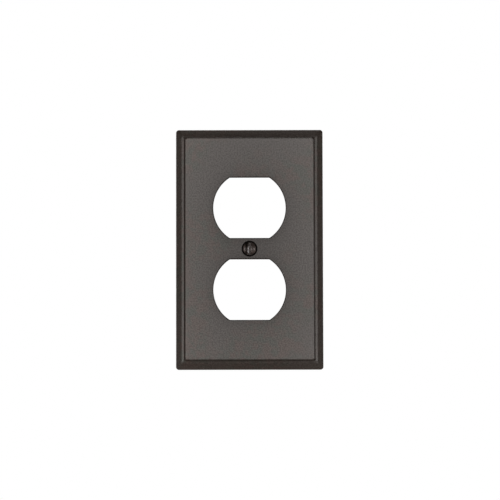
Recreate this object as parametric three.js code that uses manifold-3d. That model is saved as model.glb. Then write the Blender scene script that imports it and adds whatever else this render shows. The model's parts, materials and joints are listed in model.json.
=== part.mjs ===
// Single-gang wall plate for a duplex receptacle, with its captive mounting screw.
// Millimetres. +Z is up, +X is to the right of a person facing the plate, and the front faces -Y.
// The origin is on the screw's axis, in the plane of the wall.

import * as THREE from 'three';
import { mergeVertices } from 'three/addons/utils/BufferGeometryUtils.js';
import Module from 'manifold-3d';

// Plate: outside size and the stepped border, as (inset from the outer edge, height off the wall).
const PLATE_WIDTH = 69.85;
const PLATE_HEIGHT = 114.3;
const SHEET = 0.8;
const PANEL_RISE = 6.0;
const BORDER = [
  { inset: 0.0, rise: 0.0, bend: 0 },
  { inset: 0.0, rise: 0.8, bend: 0.7 },
  { inset: 2.5, rise: 3.5, bend: 0.5 },
  { inset: 3.95, rise: 4.1, bend: 0.25 },
  { inset: 4.5, rise: PANEL_RISE, bend: 0.3 },
  { inset: 8.0, rise: PANEL_RISE, bend: 0 },
];
const BEND_STEPS = 3;
const OUTER_CORNER_RADIUS = 1.4;
const PANEL_CORNER_RADIUS = 0.8;
const CORNER_STEPS = 6;

// Receptacle openings: circles with a flat at the top and at the bottom.
const OPENING_DIAMETER = 34.3;
const OPENING_HEIGHT = 28.7;
const OPENING_SPACING = 38.9;
const OPENING_STEPS = 18;

// Screw seat: a dimple formed in the panel.
const SEAT_HALF_ANGLE = THREE.MathUtils.degToRad(41);
const SEAT_DIAMETER = 7.5;
const SEAT_HOLE_DIAMETER = 3.9;
const ROUND_STEPS = 48;

// Screw: 6-32 slotted oval head, half an inch long below the head's edge. It floats off its seat.
const THREAD_PITCH = 25.4 / 32;
const THREAD_MAJOR = 3.505 / 2;
const THREAD_MINOR = 2.6 / 2;
const SCREW_LENGTH = 12.7;
const HEAD_DIAMETER = 6.3;
const HEAD_EDGE = 0.12;
const HEAD_DOME = 0.95;
const HEAD_DOME_STEPS = 6;
const NECK_LENGTH = 0.9;
const SCREW_SIDES = 24;
const THREAD_ROWS_PER_TURN = 6;
const POINT_LENGTH = 0.8;
const SLOT_WIDTH = 1.25;
const SLOT_DEPTH = 1.35;
const SLOT_LEAN = THREE.MathUtils.degToRad(4);
const SEAT_GAP = 0.4;

// Retaining washer: it rides on the screw behind the seat, and stops the screw after its free turns.
const FREE_TURNS = 2;
const WASHER_STOP_GAP = 0.3;
const WASHER_THICKNESS = 0.8;
const WASHER_OUTER = 3.9;
const WASHER_BORE = 1.86;
const WASHER_STEPS = 36;

const wasm = await Module();
wasm.setup();

// Drops everything but position, shares the vertices that coincide and removes empty triangles.
function weld(geometry) {
  const bare = geometry.clone();
  for (const name of Object.keys(bare.attributes)) {
    if (name !== 'position') {
      bare.deleteAttribute(name);
    }
  }
  const merged = mergeVertices(bare, 1e-4);
  const index = merged.getIndex().array;
  const kept = [];
  for (let i = 0; i < index.length; i += 3) {
    const [a, b, c] = [index[i], index[i + 1], index[i + 2]];
    if (a !== b && b !== c && c !== a) {
      kept.push(a, b, c);
    }
  }
  merged.setIndex(kept);
  return merged;
}

function toSolid(geometry) {
  const welded = weld(geometry);
  const vertProperties = new Float32Array(welded.getAttribute('position').array);
  const triVerts = new Uint32Array(welded.getIndex().array);
  return new wasm.Manifold(new wasm.Mesh({ numProp: 3, vertProperties, triVerts }));
}

function toGeometry(solid) {
  const mesh = solid.getMesh();
  const geometry = new THREE.BufferGeometry();
  geometry.setAttribute('position', new THREE.BufferAttribute(new Float32Array(mesh.vertProperties), 3));
  geometry.setIndex([...mesh.triVerts]);
  geometry.computeVertexNormals();
  return geometry;
}

// A closed surface through rings of points. Each ring runs counter-clockwise seen from the front,
// and the rings run from the back to the front.
function loft(rings) {
  const count = rings[0].length;
  const positions = rings.flat().flatMap((p) => [p.x, p.y, p.z]);
  const index = [];
  for (let i = 0; i + 1 < rings.length; i += 1) {
    for (let j = 0; j < count; j += 1) {
      const next = (j + 1) % count;
      const [a, b] = [i * count + j, i * count + next];
      const [c, d] = [b + count, a + count];
      index.push(a, b, c, a, c, d);
    }
  }
  for (const [ring, flip] of [[0, true], [rings.length - 1, false]]) {
    const centre = rings[ring].reduce((sum, p) => sum.add(p), new THREE.Vector3());
    centre.divideScalar(count);
    const hub = positions.length / 3;
    positions.push(centre.x, centre.y, centre.z);
    for (let j = 0; j < count; j += 1) {
      const [a, b] = [ring * count + j, ring * count + ((j + 1) % count)];
      index.push(hub, flip ? b : a, flip ? a : b);
    }
  }
  const geometry = new THREE.BufferGeometry();
  geometry.setAttribute('position', new THREE.Float32BufferAttribute(positions, 3));
  geometry.setIndex(index);
  return geometry;
}

// A solid of revolution about the screw's axis, from (radius, rise off the wall) points that run
// from the back to the front.
function turned(profile, steps) {
  const points = profile.map(([radius, rise]) => new THREE.Vector2(radius, rise));
  const geometry = new THREE.LatheGeometry(points, steps);
  geometry.rotateX(Math.PI);
  return geometry;
}

// The border's section, with each fold rounded by its bend radius. A positive shift moves the
// section into the sheet's thickness, for the inside of the plate.
function borderSection(shift) {
  const corners = BORDER.map(({ inset, rise }) => new THREE.Vector2(inset, rise));
  const moved = corners.map((corner, i) => {
    const before = corner.clone().sub(corners[Math.max(i - 1, 0)]).normalize();
    const after = corners[Math.min(i + 1, corners.length - 1)].clone().sub(corner).normalize();
    const one = i === 0 ? after : before;
    const two = i === corners.length - 1 ? before : after;
    const normal = new THREE.Vector2(one.y + two.y, -one.x - two.x).normalize();
    const stretch = shift / Math.max(normal.dot(new THREE.Vector2(one.y, -one.x)), 0.3);
    return corner.clone().addScaledVector(normal, stretch);
  });
  const section = [];
  moved.forEach((corner, i) => {
    const { bend } = BORDER[i];
    if (!bend) {
      section.push(corner);
      return;
    }
    const back = moved[i - 1].clone().sub(corner);
    const ahead = moved[i + 1].clone().sub(corner);
    const reach = Math.min(bend, back.length() / 2.2, ahead.length() / 2.2);
    const start = corner.clone().addScaledVector(back.normalize(), reach);
    const end = corner.clone().addScaledVector(ahead.normalize(), reach);
    const curve = new THREE.QuadraticBezierCurve(start, corner, end);
    section.push(...curve.getPoints(BEND_STEPS));
  });
  return section;
}

// A rounded rectangle at one inset from the plate's outer edge.
function plateRing(inset, rise) {
  const blend = THREE.MathUtils.clamp(inset / BORDER[4].inset, 0, 1);
  const radius = THREE.MathUtils.lerp(OUTER_CORNER_RADIUS, PANEL_CORNER_RADIUS, blend);
  const halfWidth = PLATE_WIDTH / 2 - inset - radius;
  const halfHeight = PLATE_HEIGHT / 2 - inset - radius;
  const ring = [];
  for (let corner = 0; corner < 4; corner += 1) {
    const sideX = corner === 0 || corner === 3 ? 1 : -1;
    const sideZ = corner < 2 ? 1 : -1;
    for (let step = 0; step <= CORNER_STEPS; step += 1) {
      const angle = (corner + step / CORNER_STEPS) * (Math.PI / 2);
      const x = sideX * halfWidth + radius * Math.cos(angle);
      const z = sideZ * halfHeight + radius * Math.sin(angle);
      ring.push(new THREE.Vector3(x, -rise, z));
    }
  }
  return ring;
}

// The cutter of one receptacle opening, square to the panel.
function openingCutter(centreZ) {
  const radius = OPENING_DIAMETER / 2;
  const flat = Math.asin(OPENING_HEIGHT / OPENING_DIAMETER);
  const outline = new THREE.Shape();
  outline.absarc(0, 0, radius, -flat, flat, false);
  outline.absarc(0, 0, radius, Math.PI - flat, Math.PI + flat, false);
  outline.closePath();
  const options = { depth: PANEL_RISE * 2, bevelEnabled: false, curveSegments: OPENING_STEPS };
  const cutter = new THREE.ExtrudeGeometry(outline, options);
  cutter.rotateX(Math.PI / 2);
  cutter.translate(0, 0, centreZ);
  return cutter;
}

// Where the seat's cone meets the hole through it, and the same cone on the sheet's back.
const seatRadius = SEAT_DIAMETER / 2;
const seatHole = SEAT_HOLE_DIAMETER / 2;
const seatFloor = PANEL_RISE - (seatRadius - seatHole) / Math.tan(SEAT_HALF_ANGLE);
const seatBack = seatFloor - SHEET * Math.sin(SEAT_HALF_ANGLE);
const seatBackRadius = seatHole + SHEET * Math.cos(SEAT_HALF_ANGLE);

// The stamped plate: a hollow shell with a stepped border, a screw seat and two openings.
function coverPlate() {
  const outside = borderSection(0).map((p) => plateRing(p.x, p.y));
  const inside = borderSection(SHEET).map((p) => plateRing(p.x, p.y));
  const open = inside[0].map((p) => p.clone().setY(1));
  const shell = toSolid(loft(outside)).subtract(toSolid(loft([open, ...inside])));
  const sheetBack = PANEL_RISE - SHEET;
  const coneRise = sheetBack + SHEET / 2;
  const coneRadius = seatBackRadius + (coneRise - seatBack) * Math.tan(SEAT_HALF_ANGLE);
  const dimple = turned(
    [[0, seatBack], [seatBackRadius, seatBack], [coneRadius, coneRise], [0, coneRise]],
    ROUND_STEPS,
  );
  const below = seatBack - 1;
  const above = PANEL_RISE + 1;
  const mouth = seatRadius + Math.tan(SEAT_HALF_ANGLE);
  const seat = turned(
    [[0, below], [seatHole, below], [seatHole, seatFloor], [mouth, above], [0, above]],
    ROUND_STEPS,
  );
  let plate = shell.add(toSolid(dimple)).subtract(toSolid(seat));
  for (const side of [-1, 1]) {
    plate = plate.subtract(toSolid(openingCutter((side * OPENING_SPACING) / 2)));
  }
  return toGeometry(plate);
}

// The head's edge, where the cone ends, with the cone off its seat by the gap.
const headDrop = (seatRadius - HEAD_DIAMETER / 2) / Math.tan(SEAT_HALF_ANGLE);
const headEdge = PANEL_RISE - headDrop + SEAT_GAP / Math.sin(SEAT_HALF_ANGLE);
const coneFoot = headEdge - (HEAD_DIAMETER / 2 - THREAD_MAJOR) / Math.tan(SEAT_HALF_ANGLE);
const screwTip = headEdge - SCREW_LENGTH;

// The blank that the thread is rolled on: a plain neck, the threaded length and a chamfered tip.
function blankRadius(rise) {
  const point = THREE.MathUtils.clamp((rise - screwTip) / POINT_LENGTH, 0, 1);
  return THREE.MathUtils.lerp(THREAD_MINOR * 0.85, THREAD_MAJOR, point);
}

// The radius of a right-handed 60 degree thread with flat crests and roots, faded out into the neck.
function threadRadius(rise, angle) {
  const phase = THREE.MathUtils.euclideanModulo(rise / THREAD_PITCH - angle / (2 * Math.PI), 1);
  const flank = THREE.MathUtils.clamp(Math.abs(phase - 0.5) * 2.8 - 0.2, 0, 1);
  const fade = THREE.MathUtils.clamp((coneFoot - NECK_LENGTH - rise) / THREAD_PITCH, 0, 1);
  const radius = THREAD_MAJOR - (THREAD_MAJOR - THREAD_MINOR) * (1 - flank) * fade;
  return Math.min(radius, blankRadius(rise));
}

// A ring of points about the screw's axis, whose radius may change with the angle.
function roundRing(radiusAt, rise) {
  const ring = [];
  for (let side = 0; side < SCREW_SIDES; side += 1) {
    const angle = (side / SCREW_SIDES) * 2 * Math.PI;
    const radius = radiusAt(angle);
    ring.push(new THREE.Vector3(radius * Math.cos(angle), -rise, radius * Math.sin(angle)));
  }
  return ring;
}

function shankRings() {
  const rows = Math.ceil(((coneFoot - screwTip) / THREAD_PITCH) * THREAD_ROWS_PER_TURN);
  const rings = [];
  for (let row = 0; row <= rows; row += 1) {
    const rise = THREE.MathUtils.lerp(screwTip, coneFoot, row / rows);
    rings.push(roundRing((angle) => threadRadius(rise, angle), rise));
  }
  return rings;
}

// The head above its cone: a thin edge and a spherical dome.
function headRings() {
  const edge = HEAD_DIAMETER / 2;
  const shoulder = headEdge + HEAD_EDGE;
  const sphere = (edge ** 2 + HEAD_DOME ** 2) / (2 * HEAD_DOME);
  const widest = Math.asin(edge / sphere);
  const rings = [roundRing(() => edge, headEdge)];
  for (let step = 0; step < HEAD_DOME_STEPS; step += 1) {
    const angle = widest * (1 - step / HEAD_DOME_STEPS);
    const rise = shoulder + HEAD_DOME - sphere * (1 - Math.cos(angle));
    rings.push(roundRing(() => sphere * Math.sin(angle), rise));
  }
  return rings;
}

// The screw, turned so that its slot leans a little to the right at the top.
function mountingScrew() {
  const body = toSolid(loft([...shankRings(), ...headRings()]));
  const slot = new THREE.BoxGeometry(SLOT_WIDTH, SLOT_DEPTH * 2, HEAD_DIAMETER * 1.2);
  slot.rotateY(SLOT_LEAN);
  slot.translate(0, -(headEdge + HEAD_EDGE + HEAD_DOME), 0);
  return toGeometry(body.subtract(toSolid(slot)));
}

function retainingWasher() {
  const front = seatBack - WASHER_STOP_GAP - FREE_TURNS * THREAD_PITCH;
  const back = front - WASHER_THICKNESS;
  const section = [
    [WASHER_BORE, back],
    [WASHER_OUTER, back],
    [WASHER_OUTER, front],
    [WASHER_BORE, front],
    [WASHER_BORE, back],
  ];
  return weld(turned(section, WASHER_STEPS));
}

const bronzePaint = new THREE.MeshStandardMaterial({ color: 0x4a4543, roughness: 0.5, metalness: 0.3 });
const screwFinish = new THREE.MeshStandardMaterial({ color: 0x3a3431, roughness: 0.4, metalness: 0.6 });
const nylon = new THREE.MeshStandardMaterial({ color: 0xd8d4c8, roughness: 0.55, metalness: 0 });

function part(name, geometry, material) {
  const mesh = new THREE.Mesh(geometry, material);
  mesh.name = name;
  return mesh;
}

const group = new THREE.Group();
group.add(part('cover_plate', coverPlate(), bronzePaint));
group.add(part('mounting_screw', mountingScrew(), screwFinish));
group.add(part('retaining_washer', retainingWasher(), nylon));

export default group;
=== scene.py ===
"""Looks of a duplex wall plate: painted stamped steel, a slotted oval head screw and a nylon washer."""

import json
import math

import bmesh
import bpy
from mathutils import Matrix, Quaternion, Vector
from mathutils.geometry import delaunay_2d_cdt


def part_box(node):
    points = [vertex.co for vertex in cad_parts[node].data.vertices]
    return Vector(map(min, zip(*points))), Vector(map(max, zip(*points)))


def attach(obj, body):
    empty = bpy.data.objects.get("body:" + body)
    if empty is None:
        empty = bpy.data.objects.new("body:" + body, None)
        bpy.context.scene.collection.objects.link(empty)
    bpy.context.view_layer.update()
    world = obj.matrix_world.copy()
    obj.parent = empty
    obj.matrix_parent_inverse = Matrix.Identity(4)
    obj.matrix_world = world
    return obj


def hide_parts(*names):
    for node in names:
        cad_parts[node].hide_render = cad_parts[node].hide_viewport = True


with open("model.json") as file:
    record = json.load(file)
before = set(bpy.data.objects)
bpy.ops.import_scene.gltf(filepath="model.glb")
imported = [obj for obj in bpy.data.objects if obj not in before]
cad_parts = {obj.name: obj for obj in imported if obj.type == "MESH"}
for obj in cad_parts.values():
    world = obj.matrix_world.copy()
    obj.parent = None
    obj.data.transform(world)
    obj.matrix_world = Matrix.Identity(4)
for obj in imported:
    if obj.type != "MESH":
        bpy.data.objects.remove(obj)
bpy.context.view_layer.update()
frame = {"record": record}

MM = 0.001
QUARTER = math.pi / 2
TURN = 2 * math.pi

# The frame's own sizes, in metres.
PLATE_LOW, PLATE_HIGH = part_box("cover_plate")
SCREW_LOW, SCREW_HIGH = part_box("mounting_screw")
WASHER_LOW, WASHER_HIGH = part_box("retaining_washer")
PLATE_WIDTH = PLATE_HIGH.x - PLATE_LOW.x
PLATE_HEIGHT = PLATE_HIGH.z - PLATE_LOW.z
PANEL_RISE = -PLATE_LOW.y
OPENINGS = [
    o["box_m"] for o in frame["record"]["physics"]["openings"] if "receptacle" in o["name"]
]
OPENING_CENTRES = [(low[2] + high[2]) / 2 for low, high in OPENINGS]

# The plate's sheet, and its section as (inset from the outer edge, rise off the wall, bend).
SHEET = 0.8 * MM
BORDER = [
    (0.0, 0.0, 0.0),
    (0.0, 0.8 * MM, 0.7 * MM),
    (2.5 * MM, 3.5 * MM, 0.5 * MM),
    (3.95 * MM, 4.1 * MM, 0.25 * MM),
    (4.5 * MM, PANEL_RISE, 0.3 * MM),
    (6.0 * MM, PANEL_RISE, 0.0),
]
PANEL_INSET = BORDER[4][0]
BEND_STEPS = 7
FACET_STEPS = 3
EDGE_ROUND = 0.12 * MM
FLAT_MARGIN = 0.12 * MM
OUTER_CORNER = 1.4 * MM
PANEL_CORNER = 0.8 * MM
CORNER_STEPS = 9
SIDE_STEP = 3.2 * MM
FRONT_SPACING = 2.6 * MM
BACK_SPACING = 3.4 * MM
ROW_SHARE = 0.87

# The receptacle openings: circles with a flat at the top and at the bottom.
OPENING_RADIUS = 17.15 * MM
OPENING_FLAT = 14.35 * MM
OPENING_CORNER = 0.25 * MM
OPENING_LIP = 0.55 * MM

# The screw's seat and the screw.
SEAT_ANGLE = math.radians(41)
SEAT_RADIUS = 3.75 * MM
SEAT_HOLE = 1.95 * MM
SEAT_LIP = 0.35 * MM
HEAD_RADIUS = (SCREW_HIGH.x - SCREW_LOW.x) / 2
HEAD_EDGE = 0.12 * MM
HEAD_DOME = 0.95 * MM
THREAD_PITCH = 0.0254 / 32
THREAD_MAJOR = 1.7525 * MM
THREAD_MINOR = 1.3 * MM
SCREW_LENGTH = 12.7 * MM
SLOT_WIDTH = 1.25 * MM
SLOT_DEPTH = 1.35 * MM
SLOT_LEAN = math.radians(4)
SLOT_EASE = 0.14 * MM
SLOT_BRINK = 0.09 * MM
SCREW_SIDES = 72

# The washer's hole, as a radius, and the rounding of its edges.
WASHER_BORE = 1.86 * MM
WASHER_EASE = 0.14 * MM

# Finish, and painted shade. Tones multiply the paint's colour: 1 is its full colour and 0 is black.
PAINT_ROUGHNESS = 0.38
# Painted shade on the plate: dark on the lips of the holes and in the screw's seat, darker to the
# panel's middle and near the openings, lighter toward its edges.
LIP_PAINTED_SHADE = 0.3
MIDDLE_PAINTED_SHADE = 0.66
OPENING_PAINTED_SHADE = 0.175
OPENING_SHADE_REACH = 3.1 * MM
EDGE_SHADE_LIFT = 0.24
EDGE_REACH_X = 29 * MM
EDGE_REACH_Z = 65 * MM
# Painted shade in the screw's slot.
SLOT_PAINTED_SHADE = 0.5
PAINT_CREEP = 2.2 * MM

# Camera: a long lens, a little below the plate and looking up at it.
CAMERA_LENS = 250.0
CAMERA_DROP = math.radians(4.8)
CAMERA_ROLL = math.radians(-0.12)
CAMERA_AIM = Vector((0.22 * MM, 0.0, -0.16 * MM))
FRAME_WIDTH = 237.65 * MM

# Light: softboxes aimed at the plate, as (name, azimuth, elevation, size, power).
GLOW = 0.2
LIGHT_DISTANCE = 2.0
FRONT_BOX = (0.3, 0.5)
HIGH_BOX = (0.4, 0.4)
BACK_BOX = (0.9, 0.9)
LIGHTS = [
    ("front_left_box", -15, 0, FRONT_BOX, 4.0),
    ("front_right_box", 15, 0, FRONT_BOX, 4.0),
    ("left_box", -45, 0, FRONT_BOX, 3.0),
    ("right_box", 45, 0, FRONT_BOX, 3.0),
    ("left_rim_box", -90, 0, FRONT_BOX, 0.3),
    ("right_rim_box", 90, 0, FRONT_BOX, 0.15),
    ("high_box", 0, 20, HIGH_BOX, 3.0),
    ("top_box", 0, 80, HIGH_BOX, 0.2),
    ("right_edge_box", 130, 0, HIGH_BOX, 1.0),
    ("back_high_box", 180, 50, HIGH_BOX, 2.0),
    ("back_left_box", -150, 15, BACK_BOX, 8.0),
    ("back_right_box", 150, 15, BACK_BOX, 8.0),
]
FLOOR_DROP = 0.35
FLOOR_RADIUS = 4.5


class Surface:
    """Points and faces of one closed piece, gathered ring by ring."""

    def __init__(self):
        self.points = []
        self.faces = []

    def ring(self, points):
        start = len(self.points)
        self.points.extend(points)
        return list(range(start, len(self.points)))

    def bridge(self, first, second):
        """Quads between two rings that run counter-clockwise seen from the front."""
        count = len(first)
        for j in range(count):
            k = (j + 1) % count
            self.faces.append((first[j], first[k], second[k], second[j]))

    def strip(self, rings):
        for first, second in zip(rings, rings[1:]):
            self.bridge(first, second)

    def cap(self, ring, front):
        """A fan over a ring, facing the front or the back."""
        centre = sum((self.points[i] for i in ring), Vector()) / len(ring)
        hub = self.ring([centre])[0]
        for j, index in enumerate(ring):
            following = ring[(j + 1) % len(ring)]
            self.faces.append((hub, index, following) if front else (hub, following, index))

    def fill(self, outer, holes, inside, spacing, front):
        """Triangles over the flat space between an outer ring and the holes in it."""
        loops = [outer, *holes]
        known = [i for loop in loops for i in loop]
        flat = [Vector((self.points[i].x, self.points[i].z)) for i in known]
        edges = []
        start = 0
        for loop in loops:
            count = len(loop)
            edges.extend((start + j, start + (j + 1) % count) for j in range(count))
            start += count
        level = self.points[outer[0]].y
        extra = [p for p in grid_points(spacing) if inside(p.x, p.y, 0.45 * spacing)]
        known.extend(self.ring([Vector((p.x, level, p.y)) for p in extra]))
        found = delaunay_2d_cdt(flat + extra, edges, [], 0, 1e-7)
        for face in found[2]:
            corners = [found[3][v][0] for v in face]
            middle = sum((found[0][v] for v in face), Vector((0, 0))) / len(face)
            if not inside(middle.x, middle.y, 0):
                continue
            a, b, c = [found[0][v] for v in face]
            turns_left = (b - a).cross(c - a) > 0
            if turns_left != front:
                corners.reverse()
            self.faces.append(tuple(known[i] for i in corners))

    def finish(self, name):
        mesh = bpy.data.meshes.new(name)
        mesh.from_pydata([tuple(p) for p in self.points], [], self.faces)
        mesh.validate()
        mesh.update()
        mesh.shade_smooth()
        piece = bpy.data.objects.new(name, mesh)
        bpy.context.scene.collection.objects.link(piece)
        return piece


def lerp(a, b, t):
    return a + (b - a) * t


def clamp(value, low=0.0, high=1.0):
    return max(low, min(high, value))


def grid_points(spacing):
    """Staggered points over the plate's whole face."""
    across = round(PLATE_WIDTH / spacing)
    up = round(PLATE_HEIGHT / (spacing * ROW_SHARE))
    found = []
    for row in range(up + 1):
        for column in range(across + 1):
            x = PLATE_LOW.x + (column + 0.5 * (row % 2)) * spacing
            found.append(Vector((x, PLATE_LOW.z + row * spacing * ROW_SHARE)))
    return found


# The plate.

def border_section(shift):
    """The section's (inset, rise) points with its folds rounded, moved into the sheet by shift."""
    corners = [Vector((inset, rise)) for inset, rise, _ in BORDER]
    moved = []
    for i, corner in enumerate(corners):
        back = (corner - corners[i - 1]).normalized() if i else None
        ahead = (corners[i + 1] - corner).normalized() if i + 1 < len(corners) else back
        back = back or ahead
        normal = Vector((back.y + ahead.y, -back.x - ahead.x)).normalized()
        moved.append(corner + normal * (shift / normal.dot(Vector((back.y, -back.x)))))
    section = []
    for i, corner in enumerate(moved):
        if i in (0, len(moved) - 1):
            section.append(corner)
            continue
        back = moved[i - 1] - corner
        ahead = moved[i + 1] - corner
        reach = min(BORDER[i][2], back.length / 2.2, ahead.length / 2.2)
        start = corner + back.normalized() * reach
        end = corner + ahead.normalized() * reach
        last = section[-1]
        section.extend(last.lerp(start, step / FACET_STEPS) for step in range(1, FACET_STEPS))
        for step in range(BEND_STEPS + 1):
            t = step / BEND_STEPS
            section.append(start.lerp(corner, t).lerp(corner.lerp(end, t), t))
    return section


INSIDE_SECTION = border_section(SHEET)


def plate_ring(inset, rise):
    """A rounded rectangle at one inset, with its sides divided evenly."""
    radius = lerp(OUTER_CORNER, PANEL_CORNER, clamp(inset / PANEL_INSET))
    half = Vector((PLATE_WIDTH / 2 - inset - radius, PLATE_HEIGHT / 2 - inset - radius))
    ring = []
    for corner in range(4):
        side = Vector((1 if corner in (0, 3) else -1, 1 if corner < 2 else -1))
        centre = Vector((side.x * half.x, side.y * half.y))
        for step in range(CORNER_STEPS + 1):
            angle = (corner + step / CORNER_STEPS) * QUARTER
            x = centre.x + radius * math.cos(angle)
            z = centre.y + radius * math.sin(angle)
            ring.append(Vector((x, -rise, z)))
        along = PLATE_WIDTH if corner % 2 == 0 else PLATE_HEIGHT
        count = round(along / SIDE_STEP)
        travel = -2 * half.x if corner % 2 == 0 else -2 * half.y
        travel = travel if corner < 2 else -travel
        start = ring[-1]
        for step in range(1, count):
            shift = travel * step / count
            move = Vector((shift, 0, 0)) if corner % 2 == 0 else Vector((0, 0, shift))
            ring.append(start + move)
    return ring


def opening_outline():
    """(point, outward normal) pairs round one opening, counter-clockwise from the right."""
    corner = OPENING_CORNER
    reach = OPENING_RADIUS - corner
    level = OPENING_FLAT - corner
    turn = math.asin(level / reach)
    corner_x = reach * math.cos(turn)
    quarter = []
    for step in range(19):
        angle = turn * step / 18
        outward = Vector((math.cos(angle), math.sin(angle)))
        quarter.append((outward * OPENING_RADIUS, outward))
    for step in range(1, 7):
        angle = lerp(turn, QUARTER, step / 6)
        outward = Vector((math.cos(angle), math.sin(angle)))
        quarter.append((Vector((corner_x, level)) + outward * corner, outward))
    for step in range(1, 9):
        x = corner_x * (1 - step / 8)
        quarter.append((Vector((x, OPENING_FLAT)), Vector((0, 1))))
    left = [(Vector((-p.x, p.y)), Vector((-n.x, n.y))) for p, n in quarter[-2::-1]]
    upper = quarter + left
    return upper + [(-p, -n) for p, n in upper[1:-1]]


def lip_profile(radius, depth):
    """(outward shift, drop from the panel) points over a rounded lip and down the sheet's edge."""
    points = [(radius + FLAT_MARGIN, 0.0)]
    for step in range(8):
        angle = QUARTER * step / 7
        points.append((radius * (1 - math.sin(angle)), radius * (1 - math.cos(angle))))
    round_off = EDGE_ROUND / 2
    points.append((0.0, depth - round_off * 2))
    for step in range(4):
        angle = QUARTER * step / 3
        points.append((round_off * (1 - math.cos(angle)), depth - round_off * (1 - math.sin(angle))))
    points.append((round_off + FLAT_MARGIN, depth))
    return points


def opening_rings(surface, centre):
    """One opening's rim, from the panel's front to its back. Returns its first and last rings."""
    outline = opening_outline()
    rings = []
    for shift, drop in lip_profile(OPENING_LIP, SHEET):
        ring = []
        for point, outward in outline:
            spot = point + outward * shift
            ring.append(Vector((spot.x, drop - PANEL_RISE, spot.y + centre)))
        rings.append(surface.ring(ring))
    surface.strip(rings)
    return rings[0], rings[-1]


def seat_profile():
    """(radius, rise) points from the panel over the seat's lip, down its cone and back outside."""
    slope = math.tan(SEAT_ANGLE)
    floor = PANEL_RISE - (SEAT_RADIUS - SEAT_HOLE) / slope
    lean = QUARTER - SEAT_ANGLE
    tangent = SEAT_LIP * math.tan(lean / 2)
    centre = Vector((SEAT_RADIUS + tangent, PANEL_RISE - SEAT_LIP))
    profile = [Vector((centre.x + FLAT_MARGIN, PANEL_RISE))]
    for step in range(7):
        angle = lean * step / 6
        profile.append(centre + SEAT_LIP * Vector((-math.sin(angle), math.cos(angle))))
    foot = Vector((SEAT_HOLE, floor))
    top = profile[-1]
    profile.extend(top.lerp(foot, step / 5) for step in range(1, 5))
    back = Vector((SEAT_HOLE + SHEET * math.cos(SEAT_ANGLE), floor - SHEET * math.sin(SEAT_ANGLE)))
    ease = EDGE_ROUND / 2
    profile.append(foot + Vector((ease * slope, ease)))
    profile.append(foot + Vector((0, -ease)))
    profile.append(Vector((SEAT_HOLE, back.y + ease)))
    profile.append(Vector((SEAT_HOLE + ease, back.y)))
    profile.append(Vector((back.x - ease, back.y)))
    along = Vector((slope, 1.0)).normalized()
    sheet_back = PANEL_RISE - SHEET
    end = back + along * ((sheet_back - back.y) / along.y)
    profile.append(back + along * ease)
    profile.extend(back.lerp(end, step / 4) for step in range(1, 4))
    fillet = 0.3 * MM
    start = end - along * fillet
    finish = end + Vector((fillet, 0))
    for step in range(6):
        t = step / 5
        profile.append(start.lerp(end, t).lerp(end.lerp(finish, t), t))
    profile.append(finish + Vector((FLAT_MARGIN, 0)))
    return profile


def round_ring(radius_at, rise):
    """A ring round the screw's axis, whose radius may change with the angle."""
    ring = []
    for side in range(SCREW_SIDES):
        angle = TURN * side / SCREW_SIDES
        radius = radius_at(angle)
        ring.append(Vector((radius * math.cos(angle), -rise, radius * math.sin(angle))))
    return ring


def within_opening(x, z, margin):
    for centre in OPENING_CENTRES:
        in_circle = math.hypot(x, z - centre) < OPENING_RADIUS + margin
        if in_circle and abs(z - centre) < OPENING_FLAT + margin:
            return True
    return False


def face_test(edge_inset, lip, seat):
    """A test of whether a point is on the flat panel, by at least a margin from its edges."""
    def inside(x, z, margin):
        if abs(x) > PLATE_WIDTH / 2 - edge_inset - margin:
            return False
        if abs(z) > PLATE_HEIGHT / 2 - edge_inset - margin:
            return False
        return not within_opening(x, z, lip + margin) and math.hypot(x, z) > seat + margin
    return inside


def cover_plate():
    surface = Surface()
    outside = [surface.ring(plate_ring(p.x, p.y)) for p in border_section(0)]
    inside = [surface.ring(plate_ring(p.x, p.y)) for p in INSIDE_SECTION]
    surface.strip(outside)
    surface.strip(inside[::-1])
    surface.bridge(inside[0], outside[0])
    openings = [opening_rings(surface, centre) for centre in OPENING_CENTRES]
    profile = seat_profile()
    seat = [surface.ring(round_ring(lambda _, r=p.x: r, p.y)) for p in profile]
    surface.strip(seat)
    lip = lip_profile(OPENING_LIP, SHEET)
    front_inset = BORDER[-1][0]
    back_inset = INSIDE_SECTION[-1].x
    front = face_test(front_inset, lip[0][0], profile[0].x)
    back = face_test(back_inset, lip[-1][0], profile[-1].x)
    surface.fill(outside[-1], [o[0] for o in openings] + [seat[0]], front, FRONT_SPACING, True)
    surface.fill(inside[-1], [o[1] for o in openings] + [seat[-1]], back, BACK_SPACING, False)
    return surface.finish("stamped_plate")


# The screw.

def screw_levels():
    """The rises of the screw's tip, of its cone's foot and of its head's edge."""
    edge = -SCREW_HIGH.y + SCREW_LENGTH
    foot = edge - (HEAD_RADIUS - THREAD_MAJOR) / math.tan(SEAT_ANGLE)
    return -SCREW_HIGH.y, foot, edge


def thread_radius(rise, angle, tip, foot):
    """A right-handed 60 degree thread with flat crests and roots, faded out at both ends."""
    phase = (rise / THREAD_PITCH - angle / TURN) % 1
    flank = clamp(abs(phase - 0.5) * 2.8 - 0.2)
    fade = clamp((foot - 0.9 * MM - rise) / THREAD_PITCH)
    radius = THREAD_MAJOR - (THREAD_MAJOR - THREAD_MINOR) * (1 - flank) * fade
    chamfer = lerp(THREAD_MINOR * 0.85, THREAD_MAJOR, clamp((rise - tip) / (0.8 * MM)))
    return min(radius, chamfer)


def dome_radius():
    """The radius of the sphere that the head's top is part of."""
    return (HEAD_RADIUS ** 2 + HEAD_DOME ** 2) / (2 * HEAD_DOME)


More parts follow.
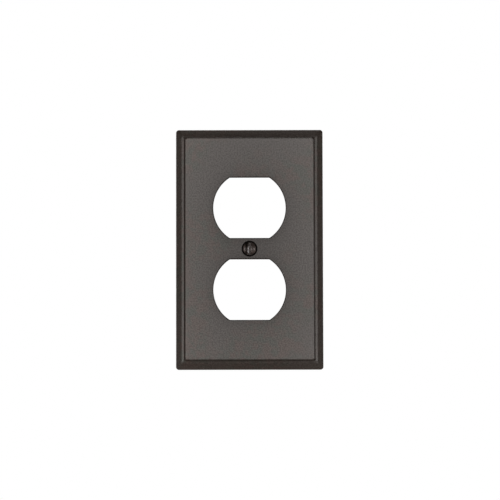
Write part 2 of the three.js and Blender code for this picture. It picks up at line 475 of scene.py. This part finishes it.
def screw_blank():
    """The whole screw before its slot is cut."""
    tip, foot, edge = screw_levels()
    surface = Surface()
    rings = []
    rows = round((foot - tip) / THREAD_PITCH * 12)
    for row in range(rows + 1):
        rise = lerp(tip, foot, row / rows)
        radius_at = lambda angle, rise=rise: thread_radius(rise, angle, tip, foot)
        rings.append(surface.ring(round_ring(radius_at, rise)))
    cone = [(lerp(THREAD_MAJOR, HEAD_RADIUS, t), lerp(foot, edge, t)) for t in (0.3, 0.6, 0.9, 0.97)]
    shoulder = edge + HEAD_EDGE
    rim = [(HEAD_RADIUS, edge + 0.03 * MM), (HEAD_RADIUS, shoulder - 0.03 * MM)]
    sphere = dome_radius()
    widest = math.asin(HEAD_RADIUS / sphere)
    dome = []
    for step in range(16):
        angle = widest * (0.985 - 0.93 * step / 15)
        dome.append((sphere * math.sin(angle), shoulder + HEAD_DOME - sphere * (1 - math.cos(angle))))
    for radius, rise in cone + rim + dome:
        rings.append(surface.ring(round_ring(lambda _, r=radius: r, rise)))
    surface.strip(rings)
    surface.cap(rings[0], front=False)
    surface.cap(rings[-1], front=True)
    return surface.finish("oval_head_screw")


def slot_corner(centre, quarter):
    """The points of one rounded corner at the bottom of the slot."""
    corner = []
    for step in range(5):
        angle = (quarter + step / 4) * QUARTER
        x = centre + SLOT_EASE * math.cos(angle)
        corner.append(Vector((x, SLOT_EASE * (1 + math.sin(angle)) - SLOT_DEPTH)))
    return corner


def slot_cutter():
    """A long bar across the head, whose lower corners are rounded."""
    _, _, edge = screw_levels()
    top = edge + HEAD_EDGE + HEAD_DOME
    half = SLOT_WIDTH / 2
    clear = 2 * MM
    outline = [Vector((half, clear)), Vector((-half, clear))]
    outline.extend(slot_corner(SLOT_EASE - half, 2))
    for step in range(1, 10):
        outline.append(Vector((lerp(SLOT_EASE - half, half - SLOT_EASE, step / 10), -SLOT_DEPTH)))
    outline.extend(slot_corner(half - SLOT_EASE, 3))
    surface = Surface()
    rings = []
    for step in range(25):
        along = lerp(1.3, -1.3, step / 24) * HEAD_RADIUS
        ring = []
        for p in outline:
            x = p.x * math.cos(SLOT_LEAN) + along * math.sin(SLOT_LEAN)
            z = -p.x * math.sin(SLOT_LEAN) + along * math.cos(SLOT_LEAN)
            ring.append(Vector((x, -(top + p.y), z)))
        rings.append(surface.ring(ring))
    surface.strip(rings)
    surface.cap(rings[0], front=False)
    surface.cap(rings[-1], front=True)
    return surface.finish("slot_cutter")


def slot_distance(point):
    """How far a point is to the side of the slot's middle."""
    return point.x * math.cos(SLOT_LEAN) - point.z * math.sin(SLOT_LEAN)


def applied(piece):
    """The piece with its modifiers made part of its mesh."""
    graph = bpy.context.evaluated_depsgraph_get()
    mesh = bpy.data.meshes.new_from_object(piece.evaluated_get(graph))
    piece.modifiers.clear()
    piece.data = mesh
    return piece


def put_in_order(mesh):
    """Orders the points and faces by place, because a bevel leaves them in no fixed order."""
    for index, vert in enumerate(sorted(mesh.verts, key=lambda v: tuple(v.co))):
        vert.index = index
    mesh.verts.sort()
    ordered = sorted(mesh.faces, key=lambda f: sorted(v.index for v in f.verts))
    for index, face in enumerate(ordered):
        face.index = index
    mesh.faces.sort()


def slotted_screw():
    """The screw with its slot cut and the slot's brinks rounded."""
    screw = screw_blank()
    cutter = slot_cutter()
    cut = screw.modifiers.new("slot", "BOOLEAN")
    cut.operation = "DIFFERENCE"
    cut.solver = "EXACT"
    cut.object = cutter
    bpy.context.view_layer.update()
    applied(screw)
    bpy.data.objects.remove(cutter)
    mesh = bmesh.new()
    mesh.from_mesh(screw.data)
    _, _, edge = screw_levels()
    brink = []
    for side in mesh.edges:
        middle = (side.verts[0].co + side.verts[1].co) / 2
        close = abs(abs(slot_distance(middle)) - SLOT_WIDTH / 2) < 0.02 * MM
        above = -middle.y > edge + HEAD_EDGE * 0.5
        if close and above and len(side.link_faces) == 2 and side.calc_face_angle() > 0.6:
            brink.append(side)
    bmesh.ops.bevel(
        mesh,
        geom=brink,
        offset=SLOT_BRINK,
        segments=3,
        profile=0.5,
        affect="EDGES",
        clamp_overlap=True,
    )
    bmesh.ops.triangulate(mesh, faces=[f for f in mesh.faces if len(f.verts) > 4])
    put_in_order(mesh)
    mesh.to_mesh(screw.data)
    mesh.free()
    screw.data.shade_smooth()
    screw.data.set_sharp_from_angle(angle=math.radians(38))
    return screw


# The washer.

def nylon_washer():
    """A flat ring with rounded edges."""
    outer = (WASHER_HIGH.x - WASHER_LOW.x) / 2
    back = -WASHER_HIGH.y
    front = -WASHER_LOW.y
    surface = Surface()
    corners = [
        (outer, back, -1),
        (outer, front, 0),
        (WASHER_BORE, front, 1),
        (WASHER_BORE, back, 2),
    ]
    profile = []
    for radius, rise, quarter in corners:
        inward = -1 if radius == outer else 1
        upward = 1 if rise == back else -1
        centre = Vector((radius + inward * WASHER_EASE, rise + upward * WASHER_EASE))
        for step in range(5):
            angle = (quarter + step / 4) * QUARTER
            profile.append(centre + WASHER_EASE * Vector((math.cos(angle), math.sin(angle))))
    rings = [surface.ring(round_ring(lambda _, r=p.x: r, p.y)) for p in profile]
    surface.strip(rings + [rings[0]])
    return surface.finish("nylon_retaining_washer")


# Materials.

class Nodes:
    """Short calls for building one material's node tree."""

    def __init__(self, name):
        self.material = bpy.data.materials.new(name)
        self.material.use_nodes = True
        self.tree = self.material.node_tree
        self.tree.nodes.clear()
        self.place = self.add("ShaderNodeTexCoord").outputs["Object"]
        self.shader = self.add("ShaderNodeBsdfPrincipled")
        output = self.add("ShaderNodeOutputMaterial")
        self.link(self.shader.outputs["BSDF"], output.inputs["Surface"])

    def add(self, kind, **settings):
        node = self.tree.nodes.new(kind)
        for key, value in settings.items():
            setattr(node, key, value)
        return node

    def link(self, source, target):
        """Sets a socket to a number or a colour, or joins it to another node's output."""
        if isinstance(source, (int, float, tuple)):
            target.default_value = source
        else:
            self.tree.links.new(source, target)

    def noise(self, scale, detail=3.0, roughness=0.5):
        node = self.add("ShaderNodeTexNoise")
        self.link(self.place, node.inputs["Vector"])
        self.link(scale, node.inputs["Scale"])
        self.link(detail, node.inputs["Detail"])
        self.link(roughness, node.inputs["Roughness"])
        return node.outputs["Fac"]

    def cells(self, scale):
        node = self.add("ShaderNodeTexVoronoi", feature="SMOOTH_F1")
        self.link(self.place, node.inputs["Vector"])
        self.link(scale, node.inputs["Scale"])
        return node.outputs["Distance"]

    def attribute(self, name):
        return self.add("ShaderNodeAttribute", attribute_name=name).outputs["Fac"]

    def spread(self, value, low, high, to_low=0.0, to_high=1.0):
        """Takes the range from low to high smoothly to another one, and holds its ends beyond."""
        node = self.add("ShaderNodeMapRange", interpolation_type="SMOOTHSTEP")
        self.link(value, node.inputs["Value"])
        self.link(low, node.inputs["From Min"])
        self.link(high, node.inputs["From Max"])
        self.link(to_low, node.inputs["To Min"])
        self.link(to_high, node.inputs["To Max"])
        return node.outputs["Result"]

    def sum(self, first, second, share):
        """The first value plus a share of the second."""
        node = self.add("ShaderNodeMath", operation="MULTIPLY_ADD")
        self.link(second, node.inputs[0])
        self.link(share, node.inputs[1])
        self.link(first, node.inputs[2])
        return node.outputs["Value"]

    def scale(self, colour, share):
        node = self.add("ShaderNodeVectorMath", operation="SCALE")
        self.link(colour, node.inputs[0])
        self.link(share, node.inputs["Scale"])
        return node.outputs["Vector"]

    def mix(self, share, first, second):
        node = self.add("ShaderNodeMix", data_type="RGBA")
        self.link(share, node.inputs["Factor"])
        self.link(first, node.inputs[6])
        self.link(second, node.inputs[7])
        return node.outputs[2]

    def bump(self, height, distance, strength=1.0):
        node = self.add("ShaderNodeBump")
        self.link(height, node.inputs["Height"])
        self.link(distance, node.inputs["Distance"])
        self.link(strength, node.inputs["Strength"])
        self.link(node.outputs["Normal"], self.shader.inputs["Normal"])


def bronze_paint():
    """Satin dark bronze with a fine grain and painted shade darker to the middle, over galvanised steel
    on the back.
    """
    n = Nodes("bronze_paint")
    grain = n.noise(1500.0, 2.0, 0.6)
    speckle = n.noise(2600.0, 1.0, 0.5)
    mottle = n.noise(260.0, 3.0, 0.55)
    cloud = n.noise(45.0, 2.0, 0.5)
    warm = n.mix(n.spread(mottle, 0.4, 0.6), (0.093, 0.094, 0.088, 1), (0.106, 0.093, 0.088, 1))
    tone = n.mix(n.spread(cloud, 0.4, 0.6), warm, (0.100, 0.095, 0.092, 1))
    paint = n.scale(tone, n.spread(grain, 0.38, 0.62, 0.86, 1.26))
    # Painted shade from the plate's shade attribute darkens the paint.
    shaded = n.scale(paint, n.attribute("shade"))
    spangle = n.cells(420.0)
    zinc = n.mix(n.spread(spangle, 0.1, 0.8), (0.46, 0.47, 0.48, 1), (0.36, 0.37, 0.385, 1))
    ragged = n.sum(n.attribute("bare"), n.sum(mottle, grain, 0.5), 0.5)
    bare = n.spread(ragged, 0.78, 1.12)
    n.link(n.mix(bare, shaded, zinc), n.shader.inputs["Base Color"])
    n.link(n.spread(bare, 0.0, 1.0, 0.85, 0.95), n.shader.inputs["Metallic"])
    rough = n.spread(grain, 0.3, 0.7, PAINT_ROUGHNESS - 0.05, PAINT_ROUGHNESS + 0.05)
    n.link(n.sum(rough, bare, -0.06), n.shader.inputs["Roughness"])
    n.bump(n.sum(grain, speckle, 0.5), 0.03 * MM, 0.8)
    return n.material


def screw_finish():
    """Dark bronze enamel on the head under painted shade, worn through at the slot, and bright zinc on
    the shank.
    """
    n = Nodes("screw_finish")
    grain = n.noise(2200.0, 3.0, 0.6)
    lumps = n.noise(900.0, 2.0, 0.5)
    paint = n.mix(n.spread(lumps, 0.4, 0.6), (0.072, 0.064, 0.061, 1), (0.135, 0.118, 0.112, 1))
    zinc = n.mix(n.spread(lumps, 0.3, 0.7), (0.40, 0.42, 0.44, 1), (0.56, 0.58, 0.60, 1))
    # Painted shade from the screw's shade attribute darkens the enamel.
    enamel_with_painted_shade = n.scale(paint, n.attribute("shade"))
    ragged = n.sum(n.attribute("bare"), n.sum(lumps, grain, 0.6), 0.5)
    bare = n.spread(ragged, 0.8, 1.1)
    n.link(n.mix(bare, enamel_with_painted_shade, zinc), n.shader.inputs["Base Color"])
    n.link(n.spread(bare, 0.0, 1.0, 0.85, 1.0), n.shader.inputs["Metallic"])
    n.link(n.spread(grain, 0.3, 0.7, 0.26, 0.36), n.shader.inputs["Roughness"])
    n.bump(n.sum(lumps, grain, 0.4), 0.03 * MM, 0.6)
    return n.material


def natural_nylon():
    """Slightly cloudy off-white nylon."""
    n = Nodes("natural_nylon")
    cloud = n.noise(500.0, 3.0, 0.5)
    grain = n.noise(3000.0, 2.0, 0.5)
    n.link(n.mix(cloud, (0.70, 0.68, 0.60, 1), (0.78, 0.76, 0.69, 1)), n.shader.inputs["Base Color"])
    n.link(n.spread(grain, 0.3, 0.7, 0.42, 0.58), n.shader.inputs["Roughness"])
    n.shader.inputs["Subsurface Weight"].default_value = 0.25
    n.shader.inputs["Subsurface Scale"].default_value = 0.4 * MM
    n.bump(grain, 0.01 * MM, 0.5)
    return n.material


def mark(piece, name, value_at):
    """Stores a value from 0 to 1 at each point, for the material to read."""
    values = [clamp(value_at(v.co)) for v in piece.data.vertices]
    attribute = piece.data.attributes.new(name, "FLOAT", "POINT")
    attribute.data.foreach_set("value", values)


def opening_gap(point, centre):
    """How far a point is outside one opening."""
    round_gap = math.hypot(point.x, point.z - centre) - OPENING_RADIUS
    return max(round_gap, abs(point.z - centre) - OPENING_FLAT, 0.0)


def plate_bare(point):
    """The back is bare, apart from paint that crept over its edges."""
    depth = PANEL_RISE + point.y
    inset = min(PLATE_WIDTH / 2 - abs(point.x), PLATE_HEIGHT / 2 - abs(point.z))
    section = [p for p in INSIDE_SECTION if p.x <= inset]
    inner_rise = section[-1].y if section else 0.0
    behind = -point.y < inner_rise + 0.25 * MM and depth > SHEET * 0.6
    if not behind:
        return 0.0
    gaps = [opening_gap(point, centre) for centre in OPENING_CENTRES]
    edge = min([*gaps, abs(inset), math.hypot(point.x, point.z) - SEAT_HOLE])
    return clamp(edge / PAINT_CREEP, 0.25, 1.0)


def plate_painted_shade(point):
    """Painted shade: darkest on the lips of the holes and in the screw's seat, darker in the middle of
    the panel and near the openings, lighter toward its edges.
    """
    # Dark painted shade on the lips of the openings and in the screw's seat.
    near_holes = abs(point.x) < 22 * MM and abs(point.z) < 38 * MM
    if near_holes and -point.y < PANEL_RISE - 0.02 * MM:
        return LIP_PAINTED_SHADE
    # Painted shade near the openings and toward the middle, fading toward the panel's edges.
    opening_shade = 0.0
    for centre in OPENING_CENTRES:
        opening_shade += math.exp(-opening_gap(point, centre) / OPENING_SHADE_REACH)
    outward = math.hypot(point.x / EDGE_REACH_X, point.z / EDGE_REACH_Z)
    return MIDDLE_PAINTED_SHADE - OPENING_PAINTED_SHADE * opening_shade + EDGE_SHADE_LIFT * outward


def slot_depth(point):
    """How far a point of the head is below its dome."""
    _, _, edge = screw_levels()
    sphere = dome_radius()
    across = min(math.hypot(point.x, point.z), HEAD_RADIUS)
    dome = edge + HEAD_EDGE + HEAD_DOME - sphere + math.sqrt(sphere ** 2 - across ** 2)
    return dome + point.y


def screw_bare(point):
    """The shank is bare, and a screwdriver has scraped the left of the slot's floor."""
    _, foot, edge = screw_levels()
    across = slot_distance(point)
    if slot_depth(point) > 0.12 * MM and -point.y > foot and abs(across) < SLOT_WIDTH * 0.51:
        scrape = clamp(1.25 - abs(across + 0.44 * MM) / (0.17 * MM))
        scrape *= clamp((point.z + 2.2 * MM) / (0.5 * MM))
        return scrape * (0.59 - 0.14 * point.z / HEAD_RADIUS)
    if -point.y < edge - HEAD_EDGE:
        return clamp((edge - -point.y) / (0.9 * MM))
    return 0.0


def screw_painted_shade(point):
    """Painted shade: dark in the slot, beside its left brink, to the top of the head and to the right
    of the slot.
    """
    across = slot_distance(point)
    if slot_depth(point) > 0.12 * MM:
        return SLOT_PAINTED_SHADE
    # Painted shadow beside the slot's left brink, and painted shade to the top of the head and to the
    # right of the slot.
    slot_shadow_band = clamp(1.3 - abs(across + 1.5 * MM) / (0.6 * MM))
    top = clamp((point.z + 0.2 * MM) / (2.2 * MM))
    return clamp(0.95 - 0.8 * slot_shadow_band - 0.25 * top - 0.12 * clamp(across / MM), 0.12, 1.0)


# Light, floor and camera.

def softbox(name, azimuth, elevation, size, power):
    """An area light aimed at the origin. Azimuth 0 is in front of the plate, 90 is to its right."""
    light = bpy.data.lights.new(name, "AREA")
    light.shape = "RECTANGLE"
    light.size, light.size_y = size
    light.energy = power
    lamp = bpy.data.objects.new(name, light)
    a = math.radians(azimuth)
    e = math.radians(elevation)
    direction = Vector((math.sin(a) * math.cos(e), -math.cos(a) * math.cos(e), math.sin(e)))
    lamp.location = LIGHT_DISTANCE * direction
    lamp.rotation_euler = (-lamp.location).to_track_quat("-Z", "Y").to_euler()
    bpy.context.scene.collection.objects.link(lamp)


def studio_world():
    """White behind the object for the camera, and a dim even glow for everything else."""
    world = bpy.data.worlds.new("studio")
    world.use_nodes = True
    bpy.context.scene.world = world
    nodes = world.node_tree.nodes
    links = world.node_tree.links
    nodes.clear()
    output = nodes.new("ShaderNodeOutputWorld")
    seen = nodes.new("ShaderNodeBackground")
    seen.inputs["Color"].default_value = (1, 1, 1, 1)
    glow = nodes.new("ShaderNodeBackground")
    glow.inputs["Color"].default_value = (1.0, 0.78, 0.66, 1)
    glow.inputs["Strength"].default_value = GLOW
    mix = nodes.new("ShaderNodeMixShader")
    path = nodes.new("ShaderNodeLightPath")
    links.new(path.outputs["Is Camera Ray"], mix.inputs[0])
    links.new(glow.outputs[0], mix.inputs[1])
    links.new(seen.outputs[0], mix.inputs[2])
    links.new(mix.outputs[0], output.inputs["Surface"])


def studio_floor():
    """A pale round floor, which the camera sees a little brighter than it lights the object."""
    surface = Surface()
    ring = []
    for side in range(64):
        angle = TURN * side / 64
        x = FLOOR_RADIUS * math.cos(angle)
        ring.append(Vector((x, FLOOR_RADIUS * math.sin(angle), -FLOOR_DROP)))
    surface.cap(surface.ring(ring), front=True)
    floor = surface.finish("studio_floor")
    n = Nodes("pale_floor")
    tone = n.mix(n.noise(3.0), (0.74, 0.68, 0.64, 1), (0.78, 0.72, 0.68, 1))
    n.link(tone, n.shader.inputs["Base Color"])
    n.shader.inputs["Roughness"].default_value = 0.9
    n.shader.inputs["Emission Color"].default_value = (0.36, 0.39, 0.41, 1)
    n.link(n.add("ShaderNodeLightPath").outputs["Is Camera Ray"], n.shader.inputs["Emission Strength"])
    floor.data.materials.append(n.material)


def studio_camera():
    """A long lens that looks at the plate from a little below, square to its sides."""
    camera = bpy.data.objects.new("camera", bpy.data.cameras.new("camera"))
    camera.data.lens = CAMERA_LENS
    camera.data.clip_end = 20
    distance = FRAME_WIDTH * camera.data.lens / camera.data.sensor_width
    back = Vector((0, -math.cos(CAMERA_DROP), -math.sin(CAMERA_DROP)))
    camera.location = CAMERA_AIM + distance * back
    aim = (-back).to_track_quat("-Z", "Y")
    camera.rotation_euler = (aim @ Quaternion((0, 0, 1), CAMERA_ROLL)).to_euler()
    bpy.context.scene.collection.objects.link(camera)
    bpy.context.scene.camera = camera


plate = cover_plate()
mark(plate, "bare", plate_bare)
mark(plate, "shade", plate_painted_shade)
plate.data.materials.append(bronze_paint())
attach(plate, "plate")
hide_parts("cover_plate")

screw = slotted_screw()
mark(screw, "bare", screw_bare)
mark(screw, "shade", screw_painted_shade)
screw.data.materials.append(screw_finish())
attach(screw, "screw")
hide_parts("mounting_screw")

washer = nylon_washer()
washer.data.materials.append(natural_nylon())
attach(washer, "washer")
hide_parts("retaining_washer")

studio_floor()
studio_world()
studio_camera()
for name, azimuth, elevation, size, power in LIGHTS:
    softbox(name, azimuth, elevation, size, power)
bpy.context.scene.view_settings.view_transform = "Standard"
